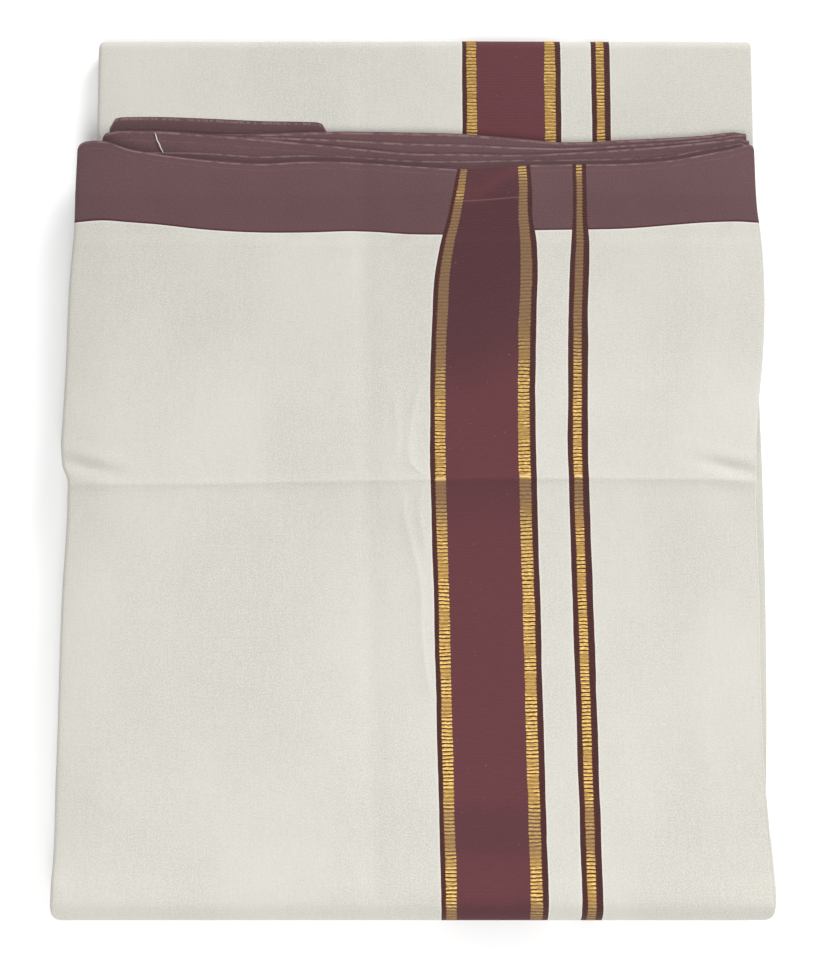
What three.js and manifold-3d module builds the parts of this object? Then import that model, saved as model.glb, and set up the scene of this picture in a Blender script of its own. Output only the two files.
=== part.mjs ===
// A dhoti: one unstitched length of cotton, 1.27 m by 2.0 m, folded for the shelf and laid face up.
// The length is folded into leaves as wide as the bundle, then the width is folded in four.
// Both selvedges come to the top end, over a ledge that is the cloth's own middle fold.
// Millimetres, +X across the bundle, +Y towards the selvedge end, +Z up from the surface it lies on.
// Origin: centre of the footprint, on that surface.
import * as THREE from "three";
import Module from "manifold-3d";

const wasm = await Module();
wasm.setup();

// Driving sizes.
const LENGTH = 336; // lower fold to ledge fold
const WALL = 1.2; // one leaf of cloth, with its loft
const SEAM = 0.3; // between woven areas that meet edge to edge
const GAP = 0.6; // between leaves that lie on each other
const FRONT_Z = 17.2; // middle of the front leaf's wall, where the bundle lies flattest
const LEDGE_Z = 8.4; // middle of the ledge's wall
const UNDER_Z = WALL / 2;
const SELVEDGE = 30; // width of the plain coloured selvedge
const LEDGE_HIDDEN = 76; // how far the ledge runs in under the other leaves

// Woven lines across the cloth: a wide band and a narrow one, each with dark edges and gold.
const WIDE_EDGE = { left: 1.3, right: 1.7 };
const NARROW_EDGE = { left: 1.4, right: 1.8 };
const WIDE_GOLD = 4.5;

// The woven areas from left to right, parted by the lines below.
const AREAS = [
  { name: "ground_left", material: "ground" },
  { name: "wide_band_edge_left", material: "edge" },
  { name: "wide_band_gold_left", material: "gold" },
  { name: "wide_band_field", material: "field" },
  { name: "wide_band_gold_right", material: "gold" },
  { name: "wide_band_edge_right", material: "edge" },
  { name: "ground_middle", material: "ground" },
  { name: "narrow_band_edge_left", material: "edge" },
  { name: "narrow_band_gold", material: "gold" },
  { name: "narrow_band_edge_right", material: "edge" },
  { name: "ground_right", material: "ground" },
];

// The path that the outer leaf follows, as distances from its selvedge line.
const FOLD = { south: (FRONT_Z - UNDER_Z) / 2, north: (LEDGE_Z - UNDER_Z) / 2 };
const BEND_Y = {
  south: -LENGTH / 2 + WALL / 2 + FOLD.south,
  north: LENGTH / 2 - WALL / 2 - FOLD.north,
};
const FRONT_RUN = 250;
const UNDER_START = FRONT_RUN + Math.PI * FOLD.south;
const UNDER_END = UNDER_START + BEND_Y.north - BEND_Y.south;
const LEDGE_START = UNDER_END + Math.PI * FOLD.north;
const LEDGE_END = LEDGE_START + LEDGE_HIDDEN;

// Where the outer leaf's sides and woven bands lie across the bundle, along that path.
// It narrows where its woven bands draw in at the selvedge, and its folds are a little askew.
const LINES = [
  { path: -SELVEDGE, left: -129.1, wide: 16.6, wideSize: 28.3, narrow: 61.0, narrowSize: 5.3, right: 131.5 },
  { path: -6, left: -129.4, wide: 12.8, wideSize: 32.6, narrow: 60.8, narrowSize: 5.5, right: 132.1 },
  { path: 15, left: -131.5, wide: 9.2, wideSize: 37.6, narrow: 60.2, narrowSize: 6.4, right: 133.4 },
  { path: 52, left: -132.5, wide: 7.2, wideSize: 38.7, narrow: 58.8, narrowSize: 6.6, right: 132.5 },
  { path: 80, left: -133.4, wide: 6.8, wideSize: 38.7, narrow: 58.4, narrowSize: 6.6, right: 130.3 },
  { path: 134, left: -131.8, wide: 8.3, wideSize: 38.6, narrow: 59.6, narrowSize: 6.6, right: 129.7 },
  { path: 204, left: -131.9, wide: 9.7, wideSize: 38.5, narrow: 61.2, narrowSize: 6.6, right: 129.2 },
  { path: FRONT_RUN, left: -132.8, wide: 10.8, wideSize: 38.4, narrow: 62.4, narrowSize: 6.6, right: 131.2 },
  { path: UNDER_START, left: -132.9, wide: 11.2, wideSize: 38.4, narrow: 62.8, narrowSize: 6.6, right: 132.0 },
  { path: UNDER_END, left: -124.3, wide: 19.2, wideSize: 38.4, narrow: 69.8, narrowSize: 6.6, right: 133.2 },
  { path: LEDGE_END, left: -124.1, wide: 19.4, wideSize: 38.4, narrow: 70.0, narrowSize: 6.6, right: 133.2 },
];

// Ridges that run across the front leaf, each falling away to its north and its south.
const RIDGES = [
  { y: 106, height: 1.1, north: 16, south: 36 },
  { y: -7, height: 1.1, north: 30, south: 10 },
  { y: -122, height: 0.6, north: 36, south: 12 },
];

// Heights of the free edges at the selvedge end, at these places across the bundle.
const STATIONS = [-130, -100, -60, -20, 20, 60, 100, 130];
const FRONT_EDGE = [123.4, 120.3, 115.8, 116.1, 114.4, 115.5, 118.6, 124.0];
const SELVEDGE_LINE = [93.7, 93.6, 89.6, 89.0, 89.0, 89.6, 92.2, 93.7];
const UNDER_LEAVES = [
  { name: "second", left: -122, right: 128, edge: [123.4, 122.3, 120.3, 120.0, 118.3, 119.0, 120.9, 126.0] },
  { name: "third", left: -121.2, right: 128.6, edge: [130.2, 130.4, 127.4, 123.4, 121.1, 121.8, 124.8, 127.0] },
  { name: "short", left: -117.5, right: -37, edge: [136.4, 136.9, 135.2, 134.2, 134, 134, 134, 134] },
  { name: "fifth", left: -113, right: 130.6, edge: [132.4, 132.6, 132.0, 131.0, 129.6, 126.7, 128.7, 130.8] },
];
const UNDER_FOOT = 88.2; // where the under leaves run into the hidden ones
const CORNER = 4; // rounding of a leaf's free corners

// Folded edges of the hidden leaves, from the surface up: whole folds on the left, finer on the right.
const LEFT_FOLDS = [
  { top: 4.6, reach: 0.2 },
  { top: 8.6, reach: 1.4 },
  { top: 12.6, reach: 0.5 },
  { top: 15.9, reach: -0.4 },
];
const RIGHT_FOLDS = [
  { top: 3.4, reach: -0.6 },
  { top: 5.2, reach: 1.2 },
  { top: 7.5, reach: 0.4 },
  { top: 9.4, reach: 1.7 },
  { top: 11.2, reach: 0.7 },
  { top: 13.2, reach: 1.9 },
  { top: 15.9, reach: 0.3 },
];

const COLOURS = {
  ground: { color: 0xdedbd0, roughness: 0.85, metalness: 0 },
  selvedge: { color: 0x715557, roughness: 0.8, metalness: 0 },
  field: { color: 0x6d4349, roughness: 0.75, metalness: 0 },
  edge: { color: 0x4e2b2f, roughness: 0.8, metalness: 0 },
  gold: { color: 0xc39a55, roughness: 0.4, metalness: 0.8 },
};
const MATERIALS = Object.fromEntries(
  Object.entries(COLOURS).map(([name, look]) => [name, new THREE.MeshStandardMaterial(look)]),
);

const steps = (from, to, count) =>
  Array.from({ length: count + 1 }, (_, i) => from + ((to - from) * i) / count);
const mix = THREE.MathUtils.lerp;

// A smooth curve through a row of heights, one for each station across the bundle.
function curveThrough(heights) {
  const curve = new THREE.CubicInterpolant(STATIONS, heights, 1);
  return (x) => curve.evaluate(THREE.MathUtils.clamp(x, STATIONS[0], STATIONS.at(-1)))[0];
}
const frontEdge = curveThrough(FRONT_EDGE);
const selvedgeLine = curveThrough(SELVEDGE_LINE);

// How far a free edge drops at its rounded corners.
function cornerDrop(x, left, right, radius) {
  const inside = Math.min(x - left, right - x);
  if (inside >= radius) return 0;
  const short = radius - Math.max(inside, 0);
  return radius - Math.sqrt(Math.max(radius * radius - short * short, 0));
}

// One column of LINES along the path.
const COLUMNS = ["left", "wide", "wideSize", "narrow", "narrowSize", "right"];
const lineCurve = new THREE.CubicInterpolant(
  LINES.map((row) => row.path),
  LINES.flatMap((row) => COLUMNS.map((column) => row[column])),
  COLUMNS.length,
);
function linesAt(path) {
  const values = lineCurve.evaluate(THREE.MathUtils.clamp(path, -SELVEDGE, LEDGE_END));
  return Object.fromEntries(COLUMNS.map((column, i) => [column, values[i]]));
}

// The nine lines that part the woven areas, left to right, and the bundle's two sides.
function boundaries(path) {
  const at = linesAt(path);
  const squeeze = at.wideSize / 38.6;
  const narrowSqueeze = at.narrowSize / 6.6;
  const wideEnd = at.wide + at.wideSize;
  const narrowEnd = at.narrow + at.narrowSize;
  return [
    at.left,
    at.wide,
    at.wide + WIDE_EDGE.left * squeeze,
    at.wide + (WIDE_EDGE.left + WIDE_GOLD) * squeeze,
    wideEnd - (WIDE_EDGE.right + WIDE_GOLD) * squeeze,
    wideEnd - WIDE_EDGE.right * squeeze,
    wideEnd,
    at.narrow,
    at.narrow + NARROW_EDGE.left * narrowSqueeze,
    narrowEnd - NARROW_EDGE.right * narrowSqueeze,
    narrowEnd,
    at.right,
  ];
}

// The front leaf's relief: its ridges, and slow swells over the leaves beneath.
function relief(x, y) {
  const fade = THREE.MathUtils.smoothstep(y, BEND_Y.south, BEND_Y.south + 24);
  const ridges = RIDGES.reduce((sum, ridge) => {
    const run = y > ridge.y ? ridge.north : ridge.south;
    return sum + ridge.height * Math.exp(-Math.abs(y - ridge.y) / run);
  }, 0);
  const swell = 0.3 * Math.sin(x / 41 + 0.6) * Math.sin(y / 52 + 0.4);
  return fade * (ridges + swell);
}

// How far the wall turns in where a fold ends the bundle at its left and right sides.
const ROLL = 1.7;
function rollDepth(x, left, right) {
  const inside = Math.min(x - left, right - x);
  if (inside >= ROLL) return 0;
  const short = ROLL - Math.max(inside, 0);
  return ROLL - Math.sqrt(Math.max(ROLL * ROLL - short * short, 0));
}

// A point of the outer leaf's middle surface, before its sides turn in, and its outward direction.
function onPath(x, path) {
  if (path <= FRONT_RUN) {
    const line = selvedgeLine(x);
    const y = path < 0
      ? line + ((frontEdge(x) - line) * -path) / SELVEDGE
      : mix(line, BEND_Y.south, path / FRONT_RUN);
    return { y, z: FRONT_Z + relief(x, y), ny: 0, nz: 1 };
  }
  if (path <= UNDER_START) {
    const turn = (path - FRONT_RUN) / FOLD.south;
    const [ny, nz] = [-Math.sin(turn), Math.cos(turn)];
    return { y: BEND_Y.south + FOLD.south * ny, z: UNDER_Z + FOLD.south * (1 + nz), ny, nz };
  }
  if (path <= UNDER_END) {
    return { y: BEND_Y.south + path - UNDER_START, z: UNDER_Z, ny: 0, nz: -1 };
  }
  if (path <= LEDGE_START) {
    const turn = (path - UNDER_END) / FOLD.north;
    const [ny, nz] = [Math.sin(turn), -Math.cos(turn)];
    return { y: BEND_Y.north + FOLD.north * ny, z: UNDER_Z + FOLD.north * (1 + nz), ny, nz };
  }
  return { y: BEND_Y.north - (path - LEDGE_START), z: LEDGE_Z, ny: 0, nz: 1 };
}

function leafPoint(x, path) {
  const { left, right } = linesAt(path);
  const at = onPath(x, path);
  const depth = rollDepth(x, left, right);
  const drop = path < 0 ? (cornerDrop(x, left, right, CORNER) * -path) / SELVEDGE : 0;
  return new THREE.Vector3(x, at.y - at.ny * depth - drop, at.z - at.nz * depth);
}

// The wall's direction at a place: flat in the middle, leaning outwards where a side turns in.
function leafNormal(x, path) {
  const { left, right } = linesAt(path);
  const { ny, nz } = onPath(x, path);
  const inside = Math.min(x - left, right - x);
  const lean = inside < ROLL ? (1 - inside / ROLL) * 1.1 : 0;
  const side = x - left < right - x ? -Math.sin(lean) : Math.sin(lean);
  return new THREE.Vector3(side, ny * Math.cos(lean), nz * Math.cos(lean));
}

// A closed wall of even thickness over a grid of { point, normal }.
function wallOver(grid, thickness) {
  const rows = grid.length;
  const columns = grid[0].length;
  const positions = [];
  for (const face of [0.5, -0.5]) {
    for (const row of grid) {
      for (const { point, normal } of row) {
        positions.push(...point.clone().addScaledVector(normal, face * thickness).toArray());
      }
    }
  }
  const index = [];
  const at = (face, r, c) => face * rows * columns + r * columns + c;
  const quad = (a, b, c, d) => index.push(a, b, c, a, c, d);
  for (let r = 0; r + 1 < rows; r++) {
    for (let c = 0; c + 1 < columns; c++) {
      quad(at(0, r, c), at(0, r + 1, c), at(0, r + 1, c + 1), at(0, r, c + 1));
      quad(at(1, r, c), at(1, r, c + 1), at(1, r + 1, c + 1), at(1, r + 1, c));
    }
    quad(at(0, r, 0), at(1, r, 0), at(1, r + 1, 0), at(0, r + 1, 0));
    quad(at(0, r, columns - 1), at(0, r + 1, columns - 1), at(1, r + 1, columns - 1), at(1, r, columns - 1));
  }
  for (let c = 0; c + 1 < columns; c++) {
    quad(at(0, 0, c), at(0, 0, c + 1), at(1, 0, c + 1), at(1, 0, c));
    quad(at(0, rows - 1, c), at(1, rows - 1, c), at(1, rows - 1, c + 1), at(0, rows - 1, c + 1));
  }
  return closed(positions, index);
}

function closed(positions, index) {
  const geometry = new THREE.BufferGeometry();
  geometry.setAttribute("position", new THREE.Float32BufferAttribute(positions, 3));
  geometry.setIndex(index);
  geometry.computeVertexNormals();
  return geometry;
}

// One woven area of the outer leaf: between two of its lines, along a stretch of its path.
function wovenArea(area, path) {
  const last = AREAS.length - 1;
  const grid = path.map((distance) => {
    const lines = boundaries(distance);
    const left = lines[area] + (area === 0 ? 0 : SEAM / 2);
    const right = lines[area + 1] - (area === last ? 0 : SEAM / 2);
    return columnsOf(area, left, right).map((x) => ({
      point: leafPoint(x, distance),
      normal: leafNormal(x, distance),
    }));
  });
  return wallOver(grid, WALL);
}

// Where an area's columns stand: close together where a side turns in, wide apart on the flat.
function columnsOf(area, left, right) {
  const turned = [0, 0.35, 1.0, ROLL];
  if (area === 0) return [...turned.map((d) => left + d), ...steps(left + 12, right, 5)];
  if (area === AREAS.length - 1) return [...steps(left, right - 8, 3), ...turned.map((d) => right - d).reverse()];
  return steps(left, right, right - left > 10 ? 2 : 1);
}

// A leaf under the front one, showing only its selvedge.
function underLeaf({ left, right, edge }, level) {
  const top = curveThrough(edge);
  const ends = [0, 0.6, 2, CORNER];
  const across = [
    ...ends.map((d) => left + d),
    ...steps(left + CORNER, right - CORNER, 9).slice(1, -1),
    ...ends.map((d) => right - d).reverse(),
  ];
  const grid = steps(0, 1, 3).map((share) =>
    across.map((x) => {
      const free = top(x) - cornerDrop(x, left, right, CORNER);
      const y = mix(free, UNDER_FOOT, share);
      const z = level + (relief(x, y) * (level - LEDGE_Z)) / (FRONT_Z - LEDGE_Z);
      return { point: new THREE.Vector3(x, y, z), normal: new THREE.Vector3(0, 0, 1) };
    }),
  );
  return wallOver(grid, WALL);
}

// The outline of the hidden leaves at one place along the bundle: flat below, folds up both sides.
const CORE_FLOOR = WALL + GAP;
const CORE_INSET = 2.7; // clear of the outer leaf's turned-in sides
function foldedSide(folds, side, edge) {
  let bottom = CORE_FLOOR;
  return folds.flatMap(({ top, reach }) => {
    const height = top - bottom;
    const x = edge - side * (CORE_INSET - reach);
    const points = [
      [x - side * 0.9, bottom + 0.02],
      [x, bottom + height * 0.3],
      [x, bottom + height * 0.7],
      [x - side * 0.9, top - 0.02],
    ];
    bottom = top;
    return points;
  });
}

function coreOutline(y, ceiling) {
  const path = FRONT_RUN * (1 - (y - BEND_Y.south) / (91 - BEND_Y.south));
  const front = linesAt(path);
  const under = linesAt(UNDER_START + y - BEND_Y.south);
  const left = Math.max(front.left, under.left);
  const right = Math.min(front.right, under.right);
  const below = (fold) => fold.top <= ceiling;
  const rightSide = foldedSide(RIGHT_FOLDS.filter(below), 1, right);
  const leftSide = foldedSide(LEFT_FOLDS.filter(below), -1, left);
  const top = steps(right - 8, left + 8, 6).map((x) => [x, ceiling]);
  return [...rightSide, ...top, ...leftSide.reverse()];
}

// A closed solid through outlines that have the same number of points.
function loft(sections) {
  const count = sections[0].length;
  const positions = sections.flat(2);
  const index = [];
  for (let s = 0; s + 1 < sections.length; s++) {
    for (let i = 0; i < count; i++) {
      const j = (i + 1) % count;
      const [a, b, c, d] = [s * count + i, s * count + j, (s + 1) * count + j, (s + 1) * count + i];
      index.push(a, d, b, b, d, c);
    }
  }
  const last = (sections.length - 1) * count;
  const flat = sections[0].map(([x, , z]) => new THREE.Vector2(x, z));
  const flatEnd = sections.at(-1).map(([x, , z]) => new THREE.Vector2(x, z));
  for (const [a, b, c] of THREE.ShapeUtils.triangulateShape(flat, [])) index.push(a, b, c);
  for (const [a, b, c] of THREE.ShapeUtils.triangulateShape(flatEnd, [])) {
    index.push(last + a, last + c, last + b);
  }
  return closed(positions, index);
}

// Part of the hidden leaves, flattened towards its middle at a rounded end.
function hiddenLoft(stations, ceiling, follow, roundEnd) {
  const middle = (CORE_FLOOR + ceiling) / 2;
  return loft(stations.map((y) => {
    const share = roundEnd(y);
    return coreOutline(y, ceiling).map(([x, z]) => {
      const lift = follow ? (relief(x, y) * (z - CORE_FLOOR)) / (ceiling - CORE_FLOOR) : 0;
      return [x, y, middle + (z - middle) * share + lift];
    });
  }));
}

function solidOf(geometry) {
  return new wasm.Manifold(new wasm.Mesh({
    numProp: 3,
    vertProperties: geometry.getAttribute("position").array,
    triVerts: new Uint32Array(geometry.index.array),
  }));
}

function joined(first, second) {
  const { vertProperties, triVerts } = solidOf(first).add(solidOf(second)).getMesh();
  return closed(Array.from(vertProperties), Array.from(triVerts));
}

// All the leaves that don't show: full height up to the under leaves, half height under the ledge.
function hiddenLeaves() {
  const full = FRONT_Z - WALL / 2 - GAP;
  const low = LEDGE_Z - WALL / 2 - GAP;
  const roundSouth = (y) => {
    const inside = (y - (BEND_Y.south - FOLD.south + WALL + GAP)) / FOLD.south;
    return inside >= 1 ? 1 : Math.sqrt(1 - (1 - Math.max(inside, 0.04)) ** 2);
  };
  const roundNorth = (y) => {
    const inside = (BEND_Y.north + FOLD.north - WALL - GAP - y) / FOLD.north;
    return inside >= 1 ? 1 : Math.sqrt(1 - (1 - Math.max(inside, 0.1)) ** 2);
  };
  const southEnd = BEND_Y.south - FOLD.south + WALL + GAP;
  const northEnd = BEND_Y.north + FOLD.north - WALL - GAP;
  const tall = hiddenLoft(
    [southEnd, southEnd + 0.9, southEnd + 3, ...steps(southEnd + FOLD.south, UNDER_FOOT - 1, 13)],
    full, true, roundSouth,
  );
  const shallow = hiddenLoft(
    [...steps(UNDER_FOOT - 3, northEnd - FOLD.north, 3), northEnd - 1.2, northEnd - 0.3, northEnd],
    low, false, roundNorth,
  );
  return joined(tall, shallow);
}

const dhoti = new THREE.Group();
function add(name, geometry, material) {
  const mesh = new THREE.Mesh(geometry, MATERIALS[material]);
  mesh.name = name;
  dhoti.add(mesh);
}

// The stretches of the outer leaf, which share their stations so that their seams run side by side.
const SELVEDGE_STATIONS = steps(-SELVEDGE, -SEAM / 2, 4);
const STRETCHES = {
  front: [...steps(SEAM / 2, FRONT_RUN, 17), ...steps(FRONT_RUN, UNDER_START - SEAM / 2, 8).slice(1)],
  underside: [
    ...steps(UNDER_START + SEAM / 2, UNDER_END, 4),
    ...steps(UNDER_END, LEDGE_START - SEAM / 2, 6).slice(1),
  ],
  ledge: steps(LEDGE_START + SEAM / 2, LEDGE_END, 2),
};

AREAS.forEach(({ name, material }, area) => {
  const plain = material === "ground";
  for (const [stretch, stations] of Object.entries(STRETCHES)) {
    const path = stretch === "front" && !plain ? [...SELVEDGE_STATIONS, ...stations] : stations;
    add(stretch + "_" + name, wovenArea(area, path), material);
  }
  if (plain) {
    add("front_" + name.replace("ground", "selvedge"), wovenArea(area, SELVEDGE_STATIONS), "selvedge");
  }
});
UNDER_LEAVES.forEach((leaf, i) => {
  const level = FRONT_Z - (WALL + GAP) * (i + 1);
  add(leaf.name + "_leaf_selvedge", underLeaf(leaf, level), "selvedge");
});
add("hidden_leaves", hiddenLeaves(), "ground");

export default dhoti;
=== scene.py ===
"""A dhoti: one unstitched length of ivory cotton, folded for the shelf and laid face up.

Eight leaves lie on each other, in one zigzag of cloth. A whole fold wraps the stack on its left,
and on its right are finer folds and two free ends. The stack is then folded in four across its
width: the front quarter, the second, the ledge and the underside, from the top down.
Tables and lengths are in millimetres, and MM turns them into the scene's metres. In the finishes,
lengths are in metres, as the pieces' maps are.
"""

import math

import bmesh
import bpy
import numpy as np
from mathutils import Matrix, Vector


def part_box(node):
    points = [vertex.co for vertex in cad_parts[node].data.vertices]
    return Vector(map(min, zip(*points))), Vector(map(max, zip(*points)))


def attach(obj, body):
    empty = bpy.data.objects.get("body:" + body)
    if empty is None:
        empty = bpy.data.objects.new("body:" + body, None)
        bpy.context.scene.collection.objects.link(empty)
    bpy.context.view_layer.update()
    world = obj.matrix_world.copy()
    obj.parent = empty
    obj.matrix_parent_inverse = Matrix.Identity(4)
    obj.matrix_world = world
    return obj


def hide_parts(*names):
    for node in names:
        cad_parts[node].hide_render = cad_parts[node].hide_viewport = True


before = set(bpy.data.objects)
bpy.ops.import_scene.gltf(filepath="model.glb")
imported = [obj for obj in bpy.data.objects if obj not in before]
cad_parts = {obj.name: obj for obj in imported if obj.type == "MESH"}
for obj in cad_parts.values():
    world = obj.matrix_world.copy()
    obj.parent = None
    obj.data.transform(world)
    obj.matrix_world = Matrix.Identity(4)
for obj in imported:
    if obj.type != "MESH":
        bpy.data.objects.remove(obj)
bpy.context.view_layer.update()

MM = 0.001
TAU = 2 * math.pi

# ---------------------------------------------------------------------------------------------
# Driving sizes
# ---------------------------------------------------------------------------------------------
LOWER_BULGE, UPPER_BULGE = 0.7, 1.9  # how far the folds stand out beyond the plain solids
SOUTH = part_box("front_ground_left")[0][1] / MM - LOWER_BULGE  # the lower fold's outside
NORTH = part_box("underside_ground_left")[1][1] / MM + UPPER_BULGE  # the ledge fold's outside
LEDGE_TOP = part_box("ledge_ground_middle")[1][2] / MM
FRONT_TOP = 2 * LEDGE_TOP - 0.2  # the front leaf's face, before its relief
INNER_LIFT = 0.16  # the second quarter's face stands this much above the ledge's
QUARTER = FRONT_TOP / 4  # eight leaves
LEAF = QUARTER / 8
CLOTH = 0.42  # thickness of the outer leaf, and of the hidden ones
INNER_CLOTH = 0.36
SELVEDGE = 30.0  # how deep the maroon selvedge is
FRONT_RUN = 250.0  # selvedge line to lower fold, along the cloth
HIDDEN_LEDGE = 76.0  # how far the ledge runs back under the selvedges
SPAN = 265.0  # one leaf, from fold to fold
RIB = 1.39  # gold ribs, from one to the next
FAR = 50.0  # as a distance from a border that a piece of cloth hasn't got

R_LOWER = FRONT_TOP / 2
R_UPPER = LEDGE_TOP / 2
R_INNER = QUARTER / 2
Y_LOWER = SOUTH + R_LOWER
Y_UPPER = NORTH - R_UPPER

# Where each stretch ends, as a distance along the cloth from the front selvedge's line ...
LOWER_END = FRONT_RUN + math.pi * R_LOWER
UNDER_END = LOWER_END + Y_UPPER - Y_LOWER
UPPER_END = UNDER_END + math.pi * R_UPPER
LEDGE_END = UPPER_END + HIDDEN_LEDGE
# ... and from the second selvedge's line, inwards.
INNER_BEND_END = FRONT_RUN + math.pi * R_INNER
INNER_END = INNER_BEND_END + (Y_UPPER - HIDDEN_LEDGE) - Y_LOWER

# The two sides of the stack, seen from the front selvedge on.
OUTER_SIDES = [
    # along, left, right
    (-30, -129.6, 131.6),
    (-6, -129.6, 131.8),
    (6, -130.0, 133.4),
    (15, -130.9, 134.0),
    (52, -132.2, 133.2),
    (72, -132.6, 130.6),
    (86, -132.8, 129.2),
    (93, -131.8, 129.0),
    (97, -129.9, 128.8),
    (104, -129.8, 128.7),
    (134, -130.9, 129.1),
    (204, -131.4, 129.4),
    (238, -131.9, 131.9),
    (250, -132.3, 132.4),
    (257, -132.4, 131.8),
    (264, -131.0, 129.6),
    (271, -132.3, 131.6),
    (280, -132.2, 132.2),
    (600, -124.3, 133.6),
    (692, -124.0, 133.6),
]
INNER_SIDES = [
    (-30, -121.0, 131.3),
    (-8, -122.4, 131.2),
    (60, -127.0, 131.6),
    (150, -129.8, 129.8),
    (250, -131.6, 131.4),
    (400, -128.0, 130.4),
    (505, -124.5, 132.4),
]
# The woven bands, along the same way: left side and width of each.
BANDS = [
    # along, wide band, its width, narrow band, its width
    (-30, 16.8, 28.0, 61.1, 5.2),
    (-18, 15.0, 30.4, 61.0, 5.3),
    (-6, 12.8, 32.8, 60.8, 5.6),
    (4, 10.3, 36.6, 60.3, 6.8),
    (15, 8.5, 38.9, 59.7, 7.3),
    (30, 7.4, 39.5, 59.1, 7.4),
    (52, 6.6, 39.8, 58.7, 7.6),
    (80, 6.4, 39.7, 58.1, 7.6),
    (134, 7.6, 39.5, 59.1, 7.7),
    (204, 9.2, 39.1, 60.5, 7.7),
    (250, 10.3, 39.1, 61.5, 7.7),
    (278, 10.7, 39.1, 61.9, 7.7),
    (600, 19.2, 38.8, 70.0, 7.4),
    (692, 19.4, 38.8, 70.2, 7.4),
]
WIDE_LINES = (1.75, 5.85, 32.9, 37.45)  # gold begins, gold ends, gold begins, gold ends
WIDE_WIDTH = 39.6
NARROW_LINES = (1.95, 5.35)
NARROW_WIDTH = 7.7

# Free edges at the selvedge end, across the bundle.
ACROSS = (-130, -118, -109, -100, -80, -60, -40, -20, 0, 20, 40, 60, 80, 100, 115, 125, 131)
FREE_EDGES = {
    "front": (125.0, 124.8, 121.6, 119.9, 117.1, 115.6, 116.5, 116.1, 114.3, 113.0, 114.6, 115.4,
              115.6, 117.2, 120.2, 122.7, 125.2),
    "second": (121.6, 122.2, 122.1, 122.0, 121.6, 120.3, 120.8, 120.0, 118.3, 118.1, 118.6, 119.0,
               119.4, 120.6, 123.8, 125.6, 127.0),
    "third": (129.8, 130.6, 130.5, 130.4, 129.0, 127.4, 125.4, 123.4, 121.3, 121.1, 120.8, 121.8,
              123.0, 124.6, 126.3, 127.8, 128.9),
    "fifth": (127.8, 128.6, 129.1, 129.4, 129.8, 129.9, 130.6, 130.8, 130.2, 129.6, 127.9, 126.5,
              127.3, 128.3, 129.4, 131.0, 131.8),
    "short": (136.8, 137.4, 137.6, 137.6, 136.9, 136.0, 135.6, 134.4, 134, 134, 134, 134, 134,
              134, 134, 134, 134),
}
SELVEDGE_LINE = (92.8, 93.3, 92.6, 91.9, 89.7, 88.5, 88.6, 89.1, 87.7, 87.7, 89.0, 89.6, 90.0,
                 91.5, 92.7, 93.1, 92.9)
# Each leaf's free edge is halfway between two of those, less a drop.
FRONT_LEAF_EDGES = {
    2: ("front", "front", 1.6),
    3: ("front", "front", 3.0),
    4: ("front", "front", 2.2),
    5: ("front", "front", 4.4),
    6: ("front", "front", 3.6),
    7: ("front", "second", 2.6),
    8: ("second", "second", 0.0),
}
REAR_LEAF_EDGES = {
    1: ("third", "third", 0.6),
    2: ("fifth", "fifth", 2.6),
    3: ("fifth", "fifth", 0.8),
    4: ("fifth", "fifth", 1.7),
    5: ("fifth", "fifth", 0.0),
    6: ("third", "fifth", 0.0),
    7: ("third", "third", 1.5),
    8: ("third", "third", 0.0),
}

# The front's relief: height of its face against how far up the bundle it is.
RELIEF_SCALE = 1.45
RELIEF = [(140, -0.4), (122, -0.5), (106, 0.45), (88, 0.1), (60, -0.6), (38, -0.95), (14, -0.1),
          (-6, 0.55), (-14, 0.3), (-24, 0.0), (-60, 0.1), (-110, 0.35), (-126, 0.25),
          (-140, -0.05), (-150, 0.15), (-158, 0.5), (-170, 0.6)]
# Pressed lines across the front.
PRESSED_LINES = [
    # up the bundle, waver, its length and phase, height, reach above, reach below
    (-6.6, 1.1, 58, 0.5, 0.68, 2.4, 1.7),
    (84.5, 0.5, 25, 0.0, 0.20, 1.0, 2.5),
    (103.5, 0.6, 30, 0.0, 0.22, 3.0, 5.0),
]
# Puckers at both ends of the middle line: a valley between two low rises.
PUCKERS = [
    # side, way in, where it starts up the bundle, lean
    (-131, 1, 1.0, -0.22),
    (128, -1, -3.2, 0.20),
]
PUCKER_ROWS = [(-4.6, 0.35), (0.0, -1.0), (4.8, 0.35)]  # how far below its middle, height
PUCKER_REACH = 2.4
PUCKER_MIDDLE, PUCKER_LENGTH = 9, 11
# Small rises in the crumpled corner, low on the left.
CORNER_RISES = [
    # across, up the bundle, height
    (-131, -154, 0.9),
    (-127, -164, 0.8),
]
CORNER_REACH = 5.0
# Small wrinkles beside the wide band: how high, and the line that each takes.
WRINKLES = [
    # height, (up the bundle, across) from one end to the other
    (0.50, [(30, 3.0), (20, 0.2), (13, -1.1), (5, -1.4), (-1, 0.2), (-4.5, 4.4)]),
    (0.34, [(27, -7.4), (14, -5.6), (3, -6.6)]),
    (0.42, [(-6.5, 4.6), (-11, 3.0), (-20, 3.0), (-32, 4.6)]),
    (0.44, [(-11, -3.6), (-21, -2.8), (-30, -0.4), (-43, 2.6), (-66, 3.6), (-84, 6.0)]),
]


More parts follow.
